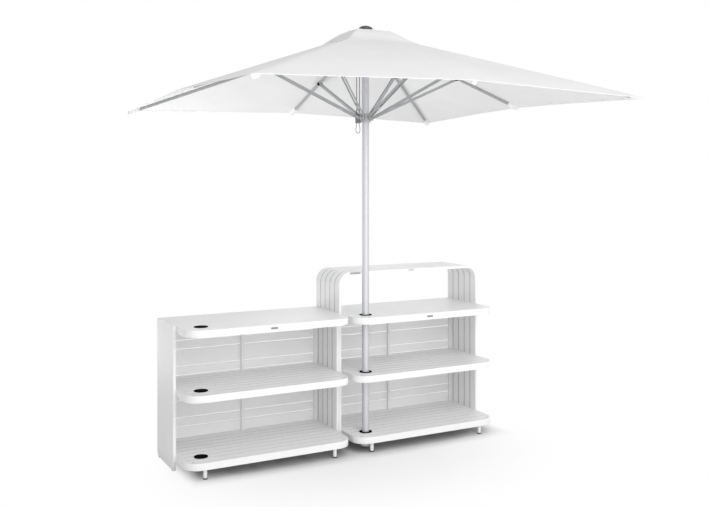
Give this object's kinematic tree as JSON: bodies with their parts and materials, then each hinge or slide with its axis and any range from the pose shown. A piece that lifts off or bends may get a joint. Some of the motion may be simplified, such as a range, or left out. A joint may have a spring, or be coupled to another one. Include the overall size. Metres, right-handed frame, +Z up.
{
  "type": "modular bar counter with parasol",
  "caption": "White modular bar counter of two linked shelf units, one with a slatted arch, and a square folding parasol standing in it",
  "frame": {"origin": "On the floor under the axis of the parasol pole, which is also the middle of the bottom of the overall box.", "axes": "+X runs along the counter to the right as seen from the open shelf front, the open front faces -Y, the slatted back faces +Y and +Z is up."},
  "size_m": [3, 3, 3.3128],
  "materials": {
    "smooth_board": "satin white board",
    "slat_board": "satin white slats",
    "shelf_frame": "satin white edge band",
    "plank_board": "satin white planks",
    "back_board": "satin white boards",
    "post_paint": "white powder coat",
    "pad_rubber": "dull dark rubber",
    "bolt_steel": "brushed steel",
    "dark_plate": "blank dark ovals",
    "dark_plastic": "moulded black",
    "pole_metal": "pale satin anodised",
    "hub_plastic": "moulded grey",
    "finial_plastic": "moulded dark grey",
    "canopy_cloth": "white woven canopy cloth",
    "rib_metal": "grey satin bar",
    "rope_fibre": "braided dark rope"
  },
  "bodies": {
    "counter": {"low_left_panel": "smooth_board", "low_right_panel": "slat_board", "low_top": "smooth_board", "low_shelf_frames": "shelf_frame", "low_shelf_planks": "plank_board", "low_back_boards": "back_board", "low_back_posts": "post_paint", "high_left_panel": "slat_board", "high_right_panel": "slat_board", "high_arch": "slat_board", "high_top": "smooth_board", "high_shelf_frames": "shelf_frame", "high_shelf_planks": "plank_board", "high_back_boards": "back_board", "high_back_posts": "post_paint", "front_legs": "post_paint", "floor_pads": "pad_rubber", "link_bolts": "bolt_steel", "oval_plates": "dark_plate", "pole_collars": "dark_plastic", "pole_socket": "dark_plastic"},
    "cap_top": {"cap_top": "dark_plastic"},
    "cap_middle": {"cap_middle": "dark_plastic"},
    "cap_bottom": {"cap_bottom": "dark_plastic"},
    "mast": {"pole": "pole_metal", "crown": "hub_plastic", "crown_pins": "bolt_steel", "finial": "finial_plastic", "vent_flap": "canopy_cloth", "rope_strands": "rope_fibre"},
    "runner": {"runner": "hub_plastic", "runner_pins": "bolt_steel", "rope_cleat": "dark_plastic", "rope_loop": "rope_fibre"},
    "rib_1": {"rib_1": "rib_metal", "canopy_1": "canopy_cloth"},
    "strut_1": {"strut_1": "rib_metal"},
    "rib_2": {"rib_2": "rib_metal", "canopy_2": "canopy_cloth"},
    "strut_2": {"strut_2": "rib_metal"},
    "rib_3": {"rib_3": "rib_metal", "canopy_3": "canopy_cloth"},
    "strut_3": {"strut_3": "rib_metal"},
    "rib_4": {"rib_4": "rib_metal", "canopy_4": "canopy_cloth"},
    "strut_4": {"strut_4": "rib_metal"},
    "rib_5": {"rib_5": "rib_metal", "canopy_5": "canopy_cloth"},
    "strut_5": {"strut_5": "rib_metal"},
    "rib_6": {"rib_6": "rib_metal", "canopy_6": "canopy_cloth"},
    "strut_6": {"strut_6": "rib_metal"},
    "rib_7": {"rib_7": "rib_metal", "canopy_7": "canopy_cloth"},
    "strut_7": {"strut_7": "rib_metal"},
    "rib_8": {"rib_8": "rib_metal", "canopy_8": "canopy_cloth"},
    "strut_8": {"strut_8": "rib_metal"}
  },
  "joints": [
    {"name": "cap_top_lift", "type": "slide", "parent": "counter", "child": "cap_top", "axis": [0, 0, 1], "range_m": [0, 0.06]},
    {"name": "cap_middle_lift", "type": "slide", "parent": "counter", "child": "cap_middle", "axis": [0, 0, 1], "range_m": [0, 0.06]},
    {"name": "cap_bottom_lift", "type": "slide", "parent": "counter", "child": "cap_bottom", "axis": [0, 0, 1], "range_m": [0, 0.06]},
    {"name": "mast_lift", "type": "slide", "parent": "counter", "child": "mast", "axis": [0, 0, 1], "range_m": [0, 1.04]},
    {"name": "runner_slide", "type": "slide", "parent": "mast", "child": "runner", "axis": [0, 0, -1], "range_m": [0, 0.8598], "deforming": ["rope_strands"]},
    {"name": "rib_1_fold", "type": "hinge", "parent": "mast", "child": "rib_1", "pos_m": [0.055, 0, 3.232], "axis": [0, 1, 0], "range_deg": [0, 39.4], "deforming": ["canopy_1"]},
    {"name": "strut_1_fold", "type": "hinge", "parent": "runner", "child": "strut_1", "pos_m": [0.06, 0, 2.588], "axis": [0, -1, 0], "range_deg": [0, 36.3]},
    {"name": "rib_2_fold", "type": "hinge", "parent": "mast", "child": "rib_2", "pos_m": [0.03889, 0.03889, 3.232], "axis": [-0.7071, 0.7071, 0], "range_deg": [0, 42.74], "deforming": ["canopy_2"]},
    {"name": "strut_2_fold", "type": "hinge", "parent": "runner", "child": "strut_2", "pos_m": [0.04243, 0.04243, 2.588], "axis": [0.7071, -0.7071, 0], "range_deg": [0, 33.15]},
    {"name": "rib_3_fold", "type": "hinge", "parent": "mast", "child": "rib_3", "pos_m": [0, 0.055, 3.232], "axis": [-1, 0, 0], "range_deg": [0, 39.4], "deforming": ["canopy_3"]},
    {"name": "strut_3_fold", "type": "hinge", "parent": "runner", "child": "strut_3", "pos_m": [0, 0.06, 2.588], "axis": [1, 0, 0], "range_deg": [0, 36.3]},
    {"name": "rib_4_fold", "type": "hinge", "parent": "mast", "child": "rib_4", "pos_m": [-0.03889, 0.03889, 3.232], "axis": [-0.7071, -0.7071, 0], "range_deg": [0, 42.74], "deforming": ["canopy_4"]},
    {"name": "strut_4_fold", "type": "hinge", "parent": "runner", "child": "strut_4", "pos_m": [-0.04243, 0.04243, 2.588], "axis": [0.7071, 0.7071, 0], "range_deg": [0, 33.15]},
    {"name": "rib_5_fold", "type": "hinge", "parent": "mast", "child": "rib_5", "pos_m": [-0.055, 0, 3.232], "axis": [0, -1, 0], "range_deg": [0, 39.4], "deforming": ["canopy_5"]},
    {"name": "strut_5_fold", "type": "hinge", "parent": "runner", "child": "strut_5", "pos_m": [-0.06, 0, 2.588], "axis": [0, 1, 0], "range_deg": [0, 36.3]},
    {"name": "rib_6_fold", "type": "hinge", "parent": "mast", "child": "rib_6", "pos_m": [-0.03889, -0.03889, 3.232], "axis": [0.7071, -0.7071, 0], "range_deg": [0, 42.74], "deforming": ["canopy_6"]},
    {"name": "strut_6_fold", "type": "hinge", "parent": "runner", "child": "strut_6", "pos_m": [-0.04243, -0.04243, 2.588], "axis": [-0.7071, 0.7071, 0], "range_deg": [0, 33.15]},
    {"name": "rib_7_fold", "type": "hinge", "parent": "mast", "child": "rib_7", "pos_m": [0, -0.055, 3.232], "axis": [1, 0, 0], "range_deg": [0, 39.4], "deforming": ["canopy_7"]},
    {"name": "strut_7_fold", "type": "hinge", "parent": "runner", "child": "strut_7", "pos_m": [0, -0.06, 2.588], "axis": [-1, 0, 0], "range_deg": [0, 36.3]},
    {"name": "rib_8_fold", "type": "hinge", "parent": "mast", "child": "rib_8", "pos_m": [0.03889, -0.03889, 3.232], "axis": [0.7071, 0.7071, 0], "range_deg": [0, 42.74], "deforming": ["canopy_8"]},
    {"name": "strut_8_fold", "type": "hinge", "parent": "runner", "child": "strut_8", "pos_m": [0.04243, -0.04243, 2.588], "axis": [-0.7071, -0.7071, 0], "range_deg": [0, 33.15]}
  ],
  "couplings": [
    {"joint": "rib_1_fold", "follows": "runner_slide", "rad_per_m": 0.79974},
    {"joint": "strut_1_fold", "follows": "runner_slide", "rad_per_m": 0.73693},
    {"joint": "rib_2_fold", "follows": "runner_slide", "rad_per_m": 0.86748},
    {"joint": "strut_2_fold", "follows": "runner_slide", "rad_per_m": 0.67281},
    {"joint": "rib_3_fold", "follows": "runner_slide", "rad_per_m": 0.79974},
    {"joint": "strut_3_fold", "follows": "runner_slide", "rad_per_m": 0.73693},
    {"joint": "rib_4_fold", "follows": "runner_slide", "rad_per_m": 0.86748},
    {"joint": "strut_4_fold", "follows": "runner_slide", "rad_per_m": 0.67281},
    {"joint": "rib_5_fold", "follows": "runner_slide", "rad_per_m": 0.79974},
    {"joint": "strut_5_fold", "follows": "runner_slide", "rad_per_m": 0.73693},
    {"joint": "rib_6_fold", "follows": "runner_slide", "rad_per_m": 0.86748},
    {"joint": "strut_6_fold", "follows": "runner_slide", "rad_per_m": 0.67281},
    {"joint": "rib_7_fold", "follows": "runner_slide", "rad_per_m": 0.79974},
    {"joint": "strut_7_fold", "follows": "runner_slide", "rad_per_m": 0.73693},
    {"joint": "rib_8_fold", "follows": "runner_slide", "rad_per_m": 0.86748},
    {"joint": "strut_8_fold", "follows": "runner_slide", "rad_per_m": 0.67281}
  ]
}
